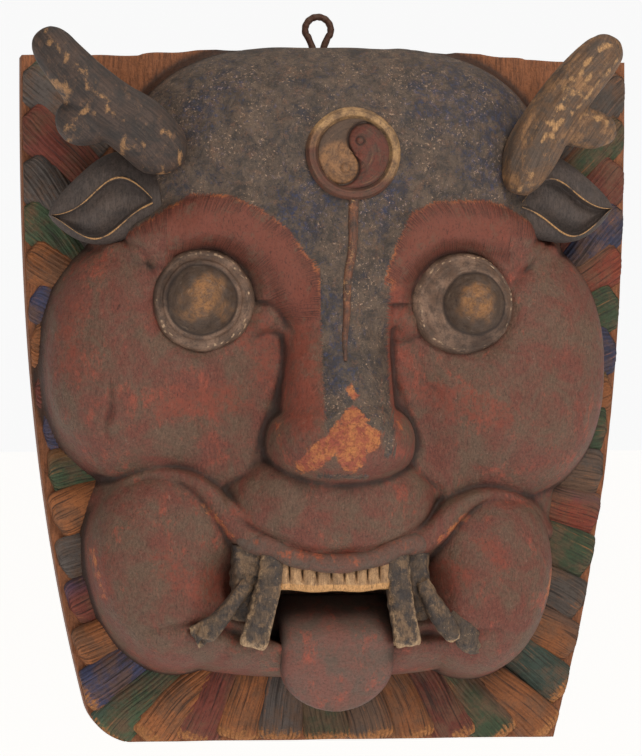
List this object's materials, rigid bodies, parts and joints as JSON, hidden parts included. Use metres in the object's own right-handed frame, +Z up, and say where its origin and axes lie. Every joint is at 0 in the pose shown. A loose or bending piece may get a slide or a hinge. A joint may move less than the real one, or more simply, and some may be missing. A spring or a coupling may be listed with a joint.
{
  "type": "carved and painted wooden demon-face wall plaque",
  "caption": "Carved, painted wooden wall plaque of a horned guardian beast's face with round eyes, tusks, tongue and a ring of mane locks, hung by an iron eye.",
  "frame": {"origin": "middle of the flat back, which hangs against the wall", "axes": "+Z up, -Y the way the face looks, +Y into the wall, +X to the viewer's right"},
  "size_m": [0.422, 0.1329, 0.5044],
  "materials": {
    "painted_wood": "worn red-brown paint over carved wood, rubbed to bare ochre wood on the high places",
    "horn_paint": "charcoal paint, cracked and worn to tan wood",
    "ear_paint": "matt charcoal paint with worn tan rims",
    "iron": "dark forged iron with brown rust"
  },
  "bodies": {
    "root": {"carved_panel": "painted_wood", "left_horn": "horn_paint", "right_horn": "horn_paint", "left_ear": "ear_paint", "right_ear": "ear_paint", "hanging_eye": "iron"}
  },
  "joints": []
}
